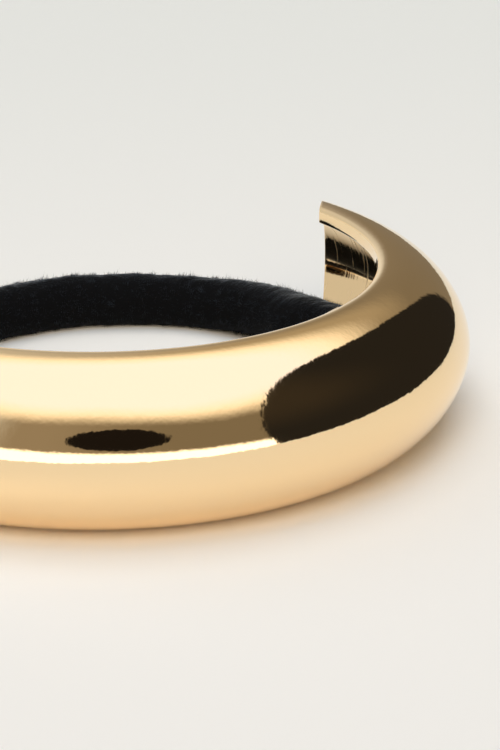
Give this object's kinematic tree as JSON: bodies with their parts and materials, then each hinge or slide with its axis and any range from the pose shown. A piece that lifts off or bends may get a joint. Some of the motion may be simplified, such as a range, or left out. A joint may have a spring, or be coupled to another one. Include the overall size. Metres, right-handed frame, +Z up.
{
  "type": "ponytail cuff",
  "caption": "Domed metal ring, open at the back and hollow on its inner side, with a round elastic loop in its hollow that holds it round a ponytail.",
  "frame": {"origin": "on the surface that the cuff lies on, below the middle of its box", "axes": "+Z up from the surface, along the ring's axis; -Y from the origin to the middle of the cuff's front; +X to the right of someone who looks at the front"},
  "size_m": [0.0538, 0.0502, 0.0125],
  "materials": {
    "gold_metal": "polished pale gold plating",
    "black_elastic": "matt knitted cover with a short nap"
  },
  "bodies": {
    "root": {"cuff": "gold_metal", "keeper_left": "gold_metal", "keeper_right": "gold_metal", "elastic_band": "black_elastic"}
  },
  "joints": []
}
